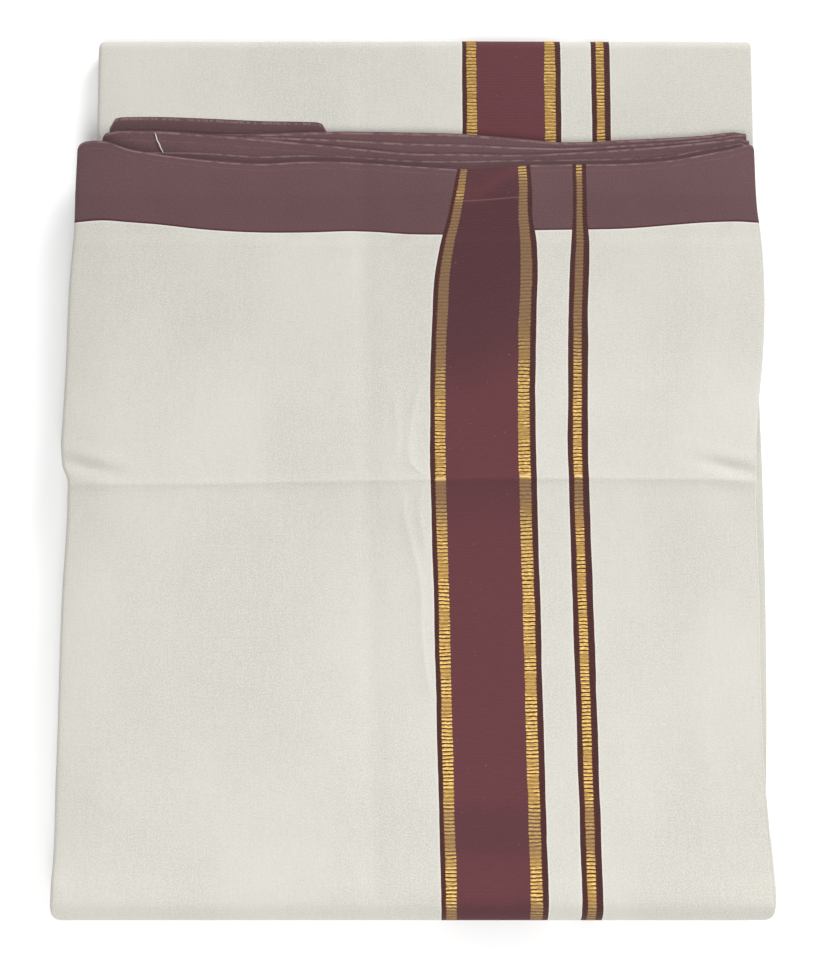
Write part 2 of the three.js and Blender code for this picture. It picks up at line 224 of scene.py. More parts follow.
# ---------------------------------------------------------------------------------------------
# Curves, paths and relief
# ---------------------------------------------------------------------------------------------
def curve(places, values, at):
    """A smooth curve through values given at places, read anywhere."""
    places, values = np.asarray(places, float), np.asarray(values, float)
    if places[0] > places[-1]:
        places, values = places[::-1], values[::-1]
    slopes = np.gradient(values, places)
    at = np.clip(at, places[0], places[-1])
    i = np.clip(np.searchsorted(places, at) - 1, 0, len(places) - 2)
    step = places[i + 1] - places[i]
    t = (at - places[i]) / step
    return ((1 + 2 * t) * (1 - t) ** 2 * values[i] + t * (1 - t) ** 2 * step * slopes[i]
            + t * t * (3 - 2 * t) * values[i + 1] - t * t * (1 - t) * step * slopes[i + 1])


def column(table, index, at):
    """One column of a table as a smooth curve over its first."""
    places = [row[0] for row in table]
    return curve(places, [row[index] for row in table], at)


def ease(low, high, at):
    """From 0 at low to 1 at high, softly."""
    t = np.clip((at - low) / (high - low), 0, 1)
    return t * t * (3 - 2 * t)


def ripple(x, y, length, seed, waves=7):
    """Soft random waves of about one length, between -1 and 1."""
    draw = np.random.default_rng(seed)
    total = np.zeros(np.broadcast(x, y).shape)
    for _ in range(waves):
        turn, phase = draw.uniform(0, TAU, 2)
        k = TAU / (length * draw.uniform(0.7, 1.5))
        total = total + np.sin(k * (x * math.cos(turn) + y * math.sin(turn)) + phase)
    return total / waves * 1.6


def crease(distance, height, ahead, behind):
    """A pressed line: a ridge that falls away at its own rate on each side."""
    return height * np.exp(-np.abs(distance) / np.where(distance > 0, ahead, behind))


def hump(distance, reach):
    """A soft rise, 1 at its middle."""
    return np.exp(-(distance / reach) ** 2)


def wrinkles(x, y):
    """The wrinkles beside the wide band, each fading at its ends."""
    total = 0 * x
    for height, line in WRINKLES:
        up, across = zip(*line)
        ends = ease(up[-1] - 2, up[-1] + 4, y) * (1 - ease(up[0] - 6, up[0] + 3, y))
        total = total + ends * crease(x - curve(up, across, y), height, 1.3, 2.4)
    return total


def puckers(x, y):
    """The puckers at the ends of the middle line, leaning as they run inwards."""
    total = 0 * x
    for side, way_in, start, lean in PUCKERS:
        inwards = (x - side) * way_in
        off = y - start - lean * inwards
        rows = sum(rise * hump(off + below, PUCKER_REACH) for below, rise in PUCKER_ROWS)
        total = total + rows * hump(inwards - PUCKER_MIDDLE, PUCKER_LENGTH)
    return total


def relief(x, y):
    """How far the front leaf stands above a flat face."""
    height = RELIEF_SCALE * column(RELIEF, 1, y)
    # the face rounds off towards both sides, more so high on the left
    height = height - 1.1 * np.exp(-(x + 132) / 9) - 1.0 * np.exp((x - 132) / 12)
    height = height - (1 - ease(-134, -114, x)) * (0.35 + 0.45 * ease(-60, -20, y))
    height = height - 0.036 * np.clip(x - 107, 0, None)  # the leaves below end here
    for place, waver, length, phase, rise, above, below in PRESSED_LINES:
        line = place + waver * np.sin(x / length + phase)
        height = height + crease(y - line, rise, above, below)
    height = height + 0.30 * ripple(x, y, 74, 3) + 0.09 * ripple(x, y, 24, 4)
    # a long valley left of the wide band, which lies on thicker cloth
    height = height - 0.40 * hump(x + 17 + 0.02 * y, 4.5)
    height = height + 0.7 * ease(-18, 9, x) * (1 - ease(38, 66, x))
    height = height + wrinkles(x, y) + puckers(x, y)
    for across, up, rise in CORNER_RISES:
        height = height + rise * hump(np.hypot(x - across, y - up), CORNER_REACH)
    return height * ease(SOUTH + 1, SOUTH + 16, y)


def settle(x, y, z):
    """The whole stack gives by the front's relief, and less and less further down."""
    return x, y, z + relief(x, y) * z / FRONT_TOP


def corner(x, left, right, radius=4.0):
    """How far a free edge drops at its rounded corners."""
    short = radius - np.clip(np.minimum(x - left, right - x), 0, radius)
    return radius - np.sqrt(radius * radius - short * short)


def free_edge(name):
    """One leaf's free edge: how far up the bundle it ends, at any x."""
    return lambda x, weft: curve(ACROSS, FREE_EDGES[name], x)


EDGE_EASE = 0.05  # share of a leaf over which one leaf's free edge becomes the next one's


def leaf_edges(leaves, table):
    """The free edge of a zigzag of leaves, which eases from each leaf's to the next at a fold."""
    def edge(x, weft):
        total = weights = 0
        for i, leaf in enumerate(leaves):
            first, second, drop = table[leaf]
            here = (curve(ACROSS, FREE_EDGES[first], x) + curve(ACROSS, FREE_EDGES[second], x)) / 2
            from_middle = np.abs(weft / SPAN - i - 0.5)
            weight = np.clip((0.5 + EDGE_EASE / 2 - from_middle) / EDGE_EASE, 0, 1)
            total, weights = total + weight * (here - drop), weights + weight
        return total / weights
    return edge


def selvedge_run(s, x, free):
    """From a free edge at minus SELVEDGE to the selvedge line, and on to the lower fold."""
    line = curve(ACROSS, SELVEDGE_LINE, x)
    return np.where(s < 0, line - (free - line) * s / SELVEDGE,
                    line + (Y_LOWER - line) * s / FRONT_RUN)


def outer_path(s, x, free):
    """Front, lower fold, underside, upper fold and ledge: a place and its outward direction."""
    turn = (np.clip((s - FRONT_RUN) / R_LOWER, 0, math.pi)
            + np.clip((s - UNDER_END) / R_UPPER, 0, math.pi))
    ny, nz = -np.sin(turn), np.cos(turn)
    where = [s < FRONT_RUN, s < LOWER_END, s < UNDER_END, s < UPPER_END]
    y = np.select(where, [selvedge_run(s, x, free), Y_LOWER + R_LOWER * ny,
                          Y_LOWER + s - LOWER_END, Y_UPPER + R_UPPER * ny],
                  Y_UPPER - (s - UPPER_END))
    z = np.select(where, [FRONT_TOP + 0 * s, R_LOWER * (1 + nz), 0 * s, R_UPPER * (1 + nz)],
                  LEDGE_TOP)
    return y, z, ny, nz


def inner_path(s, x, free):
    """Second quarter, inner fold and the rest of the ledge's leaf, from the second selvedge in."""
    turn = np.clip((s - FRONT_RUN) / R_INNER, 0, math.pi)
    ny, nz = np.sin(turn), -np.cos(turn)
    y = np.where(s < FRONT_RUN, selvedge_run(s, x, free),
                 Y_LOWER + np.clip(s - INNER_BEND_END, 0, None))
    return y, LEDGE_TOP - INNER_LIFT * nz * np.cos(turn / 2), ny, nz


# ---------------------------------------------------------------------------------------------
# Profiles: the cloth's way across the bundle, as columns
# (share of the way between two guide lines, offset from there, depth, distance along the weft)
# ---------------------------------------------------------------------------------------------
def flat(start, end, depth, count, inset=(0.0, 0.0), weft=(0.0, SPAN), crowd=1.0):
    """A straight run from one share of the way to another, ending short of folds by its insets.

    Its columns crowd together towards its end by a power above 1.
    """
    return [(start + (end - start) * t, inset[0] * (1 - t) + inset[1] * t, depth,
             weft[0] + (weft[1] - weft[0]) * t)
            for t in 1 - (1 - np.linspace(0, 1, count + 1)) ** crowd]


def fold(side, tip, depths, weft, count=10):
    """A fold at the left (side 0) or right (side 1) guide, from one depth to another."""
    sign = -1 if side else 1
    reach = fold_reach(depths)
    middle, half = sum(depths) / 2, (depths[1] - depths[0]) / 2
    return [(side, sign * (tip + reach * (1 - math.sin(turn))), middle - half * math.cos(turn),
             weft + abs(half) * turn)
            for turn in np.linspace(0, math.pi, count + 1)[1:-1]]


def fold_reach(depths):
    """How far a fold swings out beyond its straight runs: further between leaves further apart."""
    return min(1.7, 0.2 + 0.38 * abs(depths[1] - depths[0]))


def leaf_depth(leaf):
    """Depth of one leaf's middle, counted from the stack's outer face."""
    return (leaf - 0.5) * LEAF


# ---------------------------------------------------------------------------------------------
# Making a piece of cloth
# ---------------------------------------------------------------------------------------------
def stations(*runs):
    """Distances along the cloth from (from, to, step) runs that meet end to end."""
    places = [np.linspace(a, b, max(2, round((b - a) / step) + 1))[1:] for a, b, step in runs]
    return np.concatenate([[runs[0][0]], *places])


def weave(name, profile, along, path, guides, material, slot, thickness=CLOTH, edge=None,
          raise_by=None, drift=None, corners=None, borders=(False, False), peek=None):
    """A grid of cloth laid along a path, given its thickness, with its rims kept crisp."""
    share, offset, depth, weft = np.array(profile).T
    s = along[:, None]
    low, high = guides(s)
    if peek:
        offset = offset + peek(s)
    x = low + (high - low) * share + offset
    left, right = corners(s) if corners else side_lines(path, s)
    free = (edge or free_edge("front"))(x, weft) - corner(x, left, right)
    y, z, ny, nz = path(s, x, free)
    warp = s + drift(s, x) if drift else s
    level = depth - (raise_by(warp) if raise_by else 0)
    y, z = y - ny * level, z - nz * level
    x, y, z = settle(x, y, z)
    near = x - low if borders[0] else FAR
    far = high - x if borders[1] else FAR

    mesh = bmesh.new()
    bmesh.ops.create_grid(mesh, x_segments=len(profile) - 1, y_segments=len(along) - 1, size=0.5)
    places = {
        "cloth": np.stack(np.broadcast_arrays(weft, warp, x)[:2], axis=-1).reshape(-1, 2) * MM,
        "borders": np.stack(np.broadcast_arrays(near, far, x)[:2], axis=-1).reshape(-1, 2) * MM,
    }
    points = np.stack(np.broadcast_arrays(x, y, z), axis=-1).reshape(-1, 3) * MM
    for vertex, point in zip(mesh.verts, points):
        vertex.co = point
    mesh.verts.index_update()
    for layer, flat_places in places.items():
        uv = mesh.loops.layers.uv.new(layer)
        for face in mesh.faces:
            for loop in face.loops:
                loop[uv].uv = flat_places[loop.vert.index]
    finish_cloth(mesh, thickness)
    return make_object(name, mesh, material, slot)


def finish_cloth(mesh, thickness):
    """Turn the sheet's face outwards, give it its thickness and mark its rims."""
    mesh.normal_update()
    for vertex in mesh.verts:
        vertex.co += vertex.normal * (thickness * MM / 2)
    sheet = list(mesh.faces)
    bmesh.ops.solidify(mesh, geom=sheet, thickness=thickness * MM)
    for face in mesh.faces:
        face.smooth = True
    mesh.normal_update()
    for edge in mesh.edges:
        edge.smooth = edge.calc_face_angle(0) < math.radians(50)


def make_object(name, mesh, material, slot):
    data = bpy.data.meshes.new(name)
    mesh.to_mesh(data)
    mesh.free()
    data.materials.append(material)
    piece = bpy.data.objects.new(name, data)
    bpy.context.scene.collection.objects.link(piece)
    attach(piece, "root")
    return piece


def side_lines(path, s):
    """The bundle's left and right sides, where a path is at a distance along the cloth."""
    table = OUTER_SIDES if path is outer_path else INNER_SIDES
    return column(table, 1, s), column(table, 2, s)


def wander(s, amount, seed):
    """A woven line's small unevenness along the warp."""
    return amount * (ripple(s, 0 * s, 22, seed) + 0.5 * ripple(s, 0 * s, 7, seed + 50))


def band_lines(s):
    """The eleven areas' twelve boundaries across the outer leaf."""
    left, right = side_lines(outer_path, s)
    wide, wide_size, narrow, narrow_size = (column(BANDS, i, s) for i in (1, 2, 3, 4))
    lines = [left, wide + wander(s, 0.10, 11)]
    squeeze = wide_size / WIDE_WIDTH
    lines += [wide + at * squeeze + wander(s, 0.13, 12 + i) for i, at in enumerate(WIDE_LINES)]
    lines += [wide + wide_size + wander(s, 0.10, 20), narrow + wander(s, 0.10, 21)]
    squeeze = narrow_size / NARROW_WIDTH
    lines += [narrow + at * squeeze + wander(s, 0.10, 22 + i) for i, at in enumerate(NARROW_LINES)]
    return lines + [narrow + narrow_size + wander(s, 0.10, 25), right]


# ---------------------------------------------------------------------------------------------
# Shader building
# ---------------------------------------------------------------------------------------------
class Value:
    """A number in a material, for use in Python expressions: each operator adds its Math node."""

    def __init__(self, finish, socket):
        self.finish, self.socket = finish, socket

    def math(self, operation, *others):
        return self.finish.math(operation, self, *others)

    def __add__(self, other):
        return self.math("ADD", other)

    def __radd__(self, other):
        return self.math("ADD", other)

    def __sub__(self, other):
        return self.math("SUBTRACT", other)

    def __rsub__(self, other):
        return self.finish.math("SUBTRACT", other, self)

    def __mul__(self, other):
        return self.math("MULTIPLY", other)

    def __rmul__(self, other):
        return self.math("MULTIPLY", other)

    def __truediv__(self, other):
        return self.math("DIVIDE", other)

    def __rtruediv__(self, other):
        return self.finish.math("DIVIDE", other, self)


class Finish:
    """One material: its nodes, its cloth coordinates and its main shader."""

    def __init__(self, name, **constants):
        self.material = bpy.data.materials.new(name)
        self.material.use_nodes = True
        self.tree = self.material.node_tree
        self.shader = self.tree.nodes["Principled BSDF"]
        for socket, value in constants.items():
            self.shader.inputs[socket.replace("_", " ")].default_value = value
        self.cloth, self.weft, self.warp = self.places("cloth")
        _, near, far = self.places("borders")
        self.rim = self.math("MINIMUM", near, far)

    def places(self, layer):
        """One of the piece's own maps, whole and as its two numbers."""
        spot = self.node("ShaderNodeUVMap", {"uv_map": layer}).outputs["UV"]
        split = self.node("ShaderNodeSeparateXYZ", sockets={"Vector": spot})
        return spot, Value(self, split.outputs["X"]), Value(self, split.outputs["Y"])

    def node(self, kind, settings=None, sockets=None):
        """A node with its settings made first, then its sockets' values or links."""
        node = self.tree.nodes.new(kind)
        for key, value in (settings or {}).items():
            if key == "stops":
                self.set_stops(node.color_ramp, value)
            else:
                setattr(node, key, value)
        for key, value in (sockets or {}).items():
            value = value.socket if isinstance(value, Value) else value
            if isinstance(value, bpy.types.NodeSocket):
                self.tree.links.new(value, node.inputs[key])
            else:
                node.inputs[key].default_value = value
        return node

    @staticmethod
    def set_stops(ramp, stops):
        while len(ramp.elements) > 1:
            ramp.elements.remove(ramp.elements[-1])
        for i, (place, level) in enumerate(stops):
            element = ramp.elements[0] if i == 0 else ramp.elements.new(place)
            element.position = place
            element.color = (level, level, level, 1.0)

    def math(self, operation, *values):
        node = self.node("ShaderNodeMath", {"operation": operation}, dict(enumerate(values)))
        return Value(self, node.outputs[0])

    def wave(self, value, pitch):
        """Between -1 and 1, once in each pitch."""
        return (value * (TAU / pitch)).math("SINE")

    def step(self, value, low, high):
        """From 0 at low to 1 at high, softly."""
        node = self.node("ShaderNodeMapRange", {"interpolation_type": "SMOOTHSTEP"},
                         {"Value": value, "From Min": low, "From Max": high})
        return Value(self, node.outputs["Result"])

    def noise(self, scale, detail=2.0, stretch=(1.0, 1.0, 1.0)):
        """Noise between 0 and 1 over the cloth, in patches of about 1 / scale metres."""
        placed = self.node("ShaderNodeMapping", None,
                           {"Vector": self.cloth, "Scale": stretch})
        node = self.node("ShaderNodeTexNoise", None,
                         {"Vector": placed.outputs["Vector"], "Scale": scale, "Detail": detail})
        return Value(self, node.outputs["Fac"])

    def ramp(self, value, stops):
        node = self.node("ShaderNodeValToRGB", {"stops": stops}, {"Fac": value})
        return Value(self, node.outputs["Color"])

    def painted_band_shade(self):
        """The bands' painted shade here, between 0 and 1, from BAND_SHADE."""
        stagger = self.step(self.weft, 0.146, 0.168) * (1 - self.step(self.warp, 0.066, 0.086))
        uneven = (self.noise(1 / 0.004, 1.0, (1.0, 0.6, 1.0)) - 0.5) * 0.006
        fading = 1 - self.step(self.warp, 0.084, 0.092) * (1 - self.step(self.warp, 0.106, 0.114))
        start, end = (BAND_SHADE[i][0] * MM for i in (0, -1))
        place = (self.warp + stagger * 0.009 + uneven * fading - start) / (end - start)
        return self.ramp(place, [((at * MM - start) / (end - start), dull)
                                 for at, dull in BAND_SHADE])

    def blend(self, share, first, second):
        node = self.node("ShaderNodeMix", {"data_type": "RGBA"},
                         {"Factor": share, "A": first, "B": second})
        return node.outputs[2]

    def finish(self, colour, bump, distance, **links):
        """Lead the colour, a bump of this height in metres and any others into the shader."""
        self.tree.links.new(colour, self.shader.inputs["Base Color"])
        for key, value in links.items():
            self.tree.links.new(value.socket, self.shader.inputs[key])
        node = self.node("ShaderNodeBump", None, {"Height": bump, "Distance": distance})
        self.tree.links.new(node.outputs["Normal"], self.shader.inputs["Normal"])
        return self.material


def tint(red, green, blue):
    """A colour as a screen shows it, in the shader's own linear light."""
    def linear(level):
        level /= 255
        return level / 12.92 if level <= 0.04045 else ((level + 0.055) / 1.055) ** 2.4
    return (linear(red), linear(green), linear(blue), 1.0)


def plain_weave(finish, pitch):
    """Threads over and under each other, each a little thicker or thinner than the next."""
    over = finish.wave(finish.weft, pitch) * finish.wave(finish.warp, pitch)
    picks = finish.noise(1 / 0.0008, 1.0, (0.02, 1.0, 1.0))
    ends = finish.noise(1 / 0.0008, 1.0, (1.0, 0.02, 1.0))
    return over * 0.4 + picks * 0.3 + ends * 0.3


# ---------------------------------------------------------------------------------------------
# Finishes
# ---------------------------------------------------------------------------------------------
# How dull the bands are painted along the warp, in millimetres from the selvedge line: painted
# shade where the cloth faces away from the light.
BAND_SHADE = [(-30, 0.8), (-24, 0.7), (-18, 0.3), (-13, 0.9), (20, 1.0), (44, 0.85),
              (56, 0.45), (66, 0.05), (94.2, 0.0), (95.8, 0.9), (103, 0.8), (108, 0.45),
              (113, 0.12), (134, 0.0), (213, 0.0), (218, 0.45), (231, 0.55), (236, 0.1),
              (248, 0.0), (253, 0.6), (262, 0.85), (276, 0.4), (300, 0.0)]


def ivory_cotton():
    """Clouded ivory, with slubs, paler beside the bands, and a painted highlight just below the
    selvedge.
    """
    f = Finish("ivory_cotton", Roughness=0.82, Sheen_Weight=0.08, Sheen_Roughness=0.45,
               IOR=1.35)
    threads = plain_weave(f, 0.00037)
    cloudy = f.noise(17, 4.0, (1.0, 0.6, 1.0))
    colour = f.blend(f.step(cloudy, 0.34, 0.66), tint(181, 179, 169), tint(193, 191, 182))
    fine = f.noise(1700, 1.0) * 0.85 + f.noise(700, 1.0, (1.0, 0.25, 1.0)) * 0.15
    colour = f.blend((f.step(threads, -0.1, 0.7) * 0.35 + f.step(fine, 0.34, 0.66) * 0.65), colour,
                     tint(204, 202, 194))
    slubs = f.step(f.noise(1 / 0.0009, 0.0, (0.22, 1.0, 1.0)), 0.74, 0.84)
    colour = f.blend(slubs * 0.2, colour, tint(174, 170, 158))
    # paler beside the bands; the pale line just below the selvedge line is a painted highlight
    beside = (1 - f.step(f.rim, 0.0003, 0.0008)) * 0.55
    below = (1 - f.step(f.warp, 0.0003, 0.0007)) * 0.8
    colour = f.blend(f.math("MAXIMUM", beside, below), colour, tint(212, 210, 202))
    bleed = (1 - f.step(f.warp, 0.001, 0.007)) * f.step(f.noise(70), 0.5, 0.7) * 0.3
    colour = f.blend(bleed, colour, tint(186, 168, 166))
    return f.finish(colour, threads, 0.00006)


def maroon_selvedge():
    """Dull maroon, with pale lines painted as highlights at its free edge, and a dark one where
    the ivory begins.
    """
    f = Finish("maroon_selvedge", Roughness=0.85, Sheen_Weight=0.08, Sheen_Roughness=0.5,
               IOR=1.35)
    threads = plain_weave(f, 0.00040)
    colour = f.blend(f.noise(60, 3.0), tint(84, 57, 59), tint(94, 66, 69))
    colour = f.blend(f.step(f.noise(2100, 1.0), 0.34, 0.66) * 0.5, colour, tint(107, 81, 83))
    start = -SELVEDGE * MM
    patchy = f.step(f.noise(1 / 0.004, 2.0, (1.0, 2.5, 1.0)), 0.36, 0.60)
    waver = (f.noise(1 / 0.009, 1.0, (1.0, 0.3, 1.0)) - 0.5) * 0.0011
    # painted highlights along the free edge, where it catches the light: one straight, and a
    # fainter one that wavers
    for low, high, strength, wavers in ((0.0001, 0.0006, 0.72, 0), (0.0026, 0.0030, 0.14, 1)):
        above = f.step(f.warp + waver * wavers, start + low, start + low + 0.0002)
        under = f.step(f.warp + waver * wavers, start + high, start + high + 0.0004)
        colour = f.blend(above * (1 - under) * (patchy * 0.85 + 0.15) * strength, colour,
                         tint(136, 109, 110))
    line = f.step(f.warp, -0.0010, -0.0005)
    colour = f.blend(line * 0.9, colour, tint(74, 36, 42))
    return f.finish(colour, threads, 0.00008)


def maroon_field():
    """The wide band's middle: maroon picks over a darker ground."""
    f = Finish("maroon_field", Roughness=0.75, Sheen_Weight=0.0, IOR=1.25)
    uneven = (f.noise(1 / 0.0030, 1.0) - 0.5) * 0.0005
    picks = f.wave(f.warp + uneven, 0.00066)
    broken = f.noise(1 / 0.0014, 2.0, (0.35, 1.8, 1.0))
    grain = f.noise(1 / 0.0006, 2.0)
    # The field is painted in a lit and a shaded copy, mixed by the bands' painted shade; across
    # the middle line, where the cloth is pressed, that painted shade is eased by nearly half.
    pressed = f.step(f.warp, 0.090, 0.093) * (1 - f.step(f.warp, 0.115, 0.125)) * 0.45
    colour = f.blend(f.painted_band_shade() * (1 - pressed), tint(93, 51, 56), tint(73, 45, 49))
    colour = f.blend((picks * 0.5 + 0.5) * f.step(broken, 0.35, 0.7) * 0.4, colour,
                     tint(79, 44, 48))
    colour = f.blend(f.step(grain, 0.35, 0.7) * 0.25, colour, tint(101, 64, 69))
    specks = f.step(f.noise(1 / 0.0013, 0.0), 0.81, 0.86)
    colour = f.blend(specks * 0.25, colour, tint(132, 112, 118))
    mark = f.step(f.warp, -0.0156, -0.0152) * (1 - f.step(f.warp, -0.0149, -0.0145))
    colour = f.blend(mark * 0.3, colour, tint(140, 100, 94))
    return f.finish(colour, picks * 0.4 + broken * 0.5, 0.00006)


def dark_line():
    """The dark stripes that edge the bands, flecked with gold."""
    f = Finish("dark_line", Roughness=0.8, Sheen_Weight=0.06, IOR=1.35)
    picks = f.wave(f.warp, 0.00070)
    flecks = f.step(f.noise(1 / 0.0005, 1.0), 0.52, 0.66)
    colour = f.blend(picks * 0.25 + 0.4, tint(60, 29, 29), tint(72, 35, 33))
    beside = 1 - f.step(f.rim, 0.0001, 0.0005)
    colour = f.blend(flecks * (beside * 0.6 + 0.15), colour, tint(122, 70, 38))
    return f.finish(colour, picks, 0.00010)


def gold_thread():
    """Gold ribs: bright bars where they stand up, and a darker brown painted as shade where the
    cloth turns away from the light.
    """
    f = Finish("gold_thread", IOR=1.5)
    dull = f.painted_band_shade()
    strands = f.noise(1 / 0.0005, 1.0, (0.35, 1.5, 1.0))
    bar = f.step(f.wave(f.warp, RIB * MM) + (strands - 0.5) * 1.3, -0.6, 0.5)
    raised = f.step(f.noise(1 / 0.0055, 0.0, (0.5, 1.0, 1.0)), 0.36, 0.50) * 0.8 + 0.2
    raised = raised * (1 - f.step(f.warp, 0.560, 0.600) * 0.3)
    smooth = f.blend(strands, tint(134, 101, 48), tint(174, 138, 75))
    # the gaps between the bars are dark, partly the weave below and partly painted shade, and the
    # bars carry a painted highlight
    ribbed = f.blend(bar, tint(52, 31, 8), tint(193, 154, 82))
    ribbed = f.blend(bar * f.step(strands, 0.45, 0.75) * 0.75, ribbed, tint(252, 216, 140))
    bright = f.blend(raised, smooth, ribbed)
    # a darker brown copy of the gold, painted shade, laid where the bands' painted shade is high
    shaded_gold = f.blend(strands * 0.7 + bar * 0.25, tint(98, 73, 51), tint(137, 104, 71))
    colour = f.blend(dull, bright, shaded_gold)
    # a painted highlight along the middle line's crease
    glint = f.step(f.warp, 0.0936, 0.0941) * (1 - f.step(f.warp, 0.0946, 0.0951))
    colour = f.blend(glint * 0.45, colour, tint(250, 220, 152))
    ragged = f.step(f.rim + (strands - 0.5) * 0.0006 + bar * 0.00015, 0.0001, 0.0004)
    colour = f.blend(ragged, tint(82, 44, 34), colour)
    rough = 0.42 + dull * 0.2 + strands * 0.1
    metal = 0.6 - dull * 0.3
    return f.finish(colour, strands * 0.6 + bar * raised * 0.6, 0.00010, Roughness=rough,
                    Metallic=metal)


COTTON = ivory_cotton()
MAROON = maroon_selvedge()
FIELD = maroon_field()
DARK = dark_line()
GOLD = gold_thread()

# ---------------------------------------------------------------------------------------------
# The outer leaf
# ---------------------------------------------------------------------------------------------
FACE = CLOTH / 2  # depth of the outer leaf's middle
CLEARANCE = 0.12  # between the whole fold's lower leaf and the quarter below
LEFT_FOLD = (FACE, QUARTER - FACE - CLEARANCE)
RIGHT_FOLD = (FACE, leaf_depth(4))
RETURN = 9.0  # how far a folded side runs back in
CROWD = 1.35  # the left ground's columns crowd towards the wide band, where the wrinkles are


def left_turn():
    """The left fold, from inside the stack out to its face."""
    reach = fold_reach(LEFT_FOLD)
    back = flat(0, 0, LEFT_FOLD[1], 3, (reach + RETURN, reach), (-RETURN - 6, -6))
    return back + fold(0, 0.0, LEFT_FOLD[::-1], -6)


def right_turn():
    """The right fold, from the face back into the stack."""
    reach = fold_reach(RIGHT_FOLD)
    back = flat(1, 1, RIGHT_FOLD[1], 3, (-reach, -reach - RETURN), (SPAN + 3, SPAN + 3 + RETURN))
    return fold(1, 0.0, RIGHT_FOLD, SPAN) + back


RIB_HEIGHT, DULL_RIB_LOSS = 0.12, 0.085


def rib_drift(s, x):
    """The gold's ribs lean, bow and crowd a little from one to the next."""
    return 0.26 * ripple(s, 0.8 * x, 11, 31) + 0.08 * ripple(0.6 * s, x, 4.5, 33)


def ribs(warp):
    """How far the gold's ribs stand up: well where they look bright, hardly where dull."""
    places, dull = zip(*BAND_SHADE)
    height = RIB_HEIGHT - DULL_RIB_LOSS * np.interp(warp, places, dull)
    return height * np.sin(TAU * warp / RIB)


AREAS = [
    # name, material, slot, columns across, rows' length
    ("ground_left", COTTON, "ground", 112, 1.4),
    ("wide_band_edge_left", DARK, "edge", 2, 0.9),
    ("wide_band_gold_left", GOLD, "gold", 6, RIB / 6),
    ("wide_band_field", FIELD, "field", 22, 0.9),
    ("wide_band_gold_right", GOLD, "gold", 6, RIB / 6),
    ("wide_band_edge_right", DARK, "edge", 2, 0.9),
    ("ground_middle", COTTON, "ground", 12, 1.2),
    ("narrow_band_edge_left", DARK, "edge", 2, 0.9),
    ("narrow_band_gold", GOLD, "gold", 5, RIB / 6),
    ("narrow_band_edge_right", DARK, "edge", 2, 0.9),
    ("ground_right", COTTON, "ground", 46, 1.6),
]


def area_guides(area):
    """The two lines that one area lies between."""
    def guides(s):
        lines = band_lines(s)
        return lines[area], lines[area + 1]
    return guides


def area_profile(area, columns, widths):
    """One area's way across, with the stack's fold where it is the first or the last."""
    start = sum(widths[:area])
    weft = (start, start + widths[area])
    if area == 0:
        reach = fold_reach(LEFT_FOLD)
        return left_turn() + flat(0, 1, FACE, columns, (reach, 0), weft, CROWD)
    if area == LAST:
        reach = fold_reach(RIGHT_FOLD)
        return flat(0, 1, FACE, columns, (0, -reach), weft) + right_turn()
    return flat(0, 1, FACE, columns, weft=weft)


LAST = len(AREAS) - 1
MEASURED_AT = np.array([100.0])  # where along the cloth the areas' widths are taken
WIDTHS = np.diff([float(line[0]) for line in band_lines(MEASURED_AT)])
MIDDLE_START, MIDDLE_END = 88.0, 106.0  # closer rows here, where the middle line is pressed in
MIDDLE_ROW = 0.6
BEND_ROW, UNDER_ROW = 1.0, 8.0  # rows round the folds, and under the bundle where it is plain


def bend_rows(row, bends, straights=None):
    """Rows from the lower fold to the ledge's hidden edge, closer together round the folds."""
    return [(FRONT_RUN, LOWER_END, bends),
            (LOWER_END, UNDER_END, straights or row), (UNDER_END, UPPER_END, bends * 0.7),
            (UPPER_END, LEDGE_END, row)]


outer, selvedges = {}, {}
for area, (name, material, slot, columns, row) in enumerate(AREAS):
    banded = slot != "ground"
    runs = [(0.0, MIDDLE_START, row), (MIDDLE_START, MIDDLE_END, min(row, MIDDLE_ROW)),
            (MIDDLE_END, FRONT_RUN, row)]
    runs += bend_rows(row, min(row, BEND_ROW), None if banded else UNDER_ROW)
    if banded:
        runs = [(-SELVEDGE, 0.0, row)] + runs
    shared = {"path": outer_path, "guides": area_guides(area),
              "borders": (area > 0, area < LAST)}
    profile = area_profile(area, columns, WIDTHS)
    ribbed = {"raise_by": ribs, "drift": rib_drift} if slot == "gold" else {}
    outer[name] = weave(name, profile, stations(*runs), material=material, slot=slot,
                        **shared, **ribbed)
    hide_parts(*(stretch + name for stretch in ("front_", "underside_", "ledge_")))
    if not banded:
        selvedge = name.replace("ground", "selvedge")
        selvedges[selvedge] = weave(selvedge, profile, stations((-SELVEDGE, 0.0, 1.2)),
                                    material=MAROON, slot="selvedge", **shared)
        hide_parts("front_" + selvedge)

# ---------------------------------------------------------------------------------------------
# The leaves behind the front selvedge, and the folds down both sides
# ---------------------------------------------------------------------------------------------
# Leaves in the order that the cloth runs through them.
CLOTH_ORDER = (8, 1, 4, 5, 6, 3, 2, 7)
FRONT_INNER = (4, 5, 6, 3, 2, 7)
FOLD_INSET = 1.75  # how far in from the bundle's side a leaf's straight run ends at a fold
BESIDE_RETURN = RETURN + 1.7  # and where it meets a side of the outer leaf that runs back in
# Leaves 7 and 8 end freely on the right. Leaf 4 goes on in the outer leaf's right fold.
FREE_INSETS = {7: 1.3, 8: 0.5, 4: BESIDE_RETURN}
SHORT_STRIP = (-118.8, -33.5)  # the sides of the strip whose end shows under the rear leaves
SHORT_STRIP_DEPTH = -0.15
SHORT_STRIP_HIDDEN = 14.0  # how far the strip runs on under the other leaves


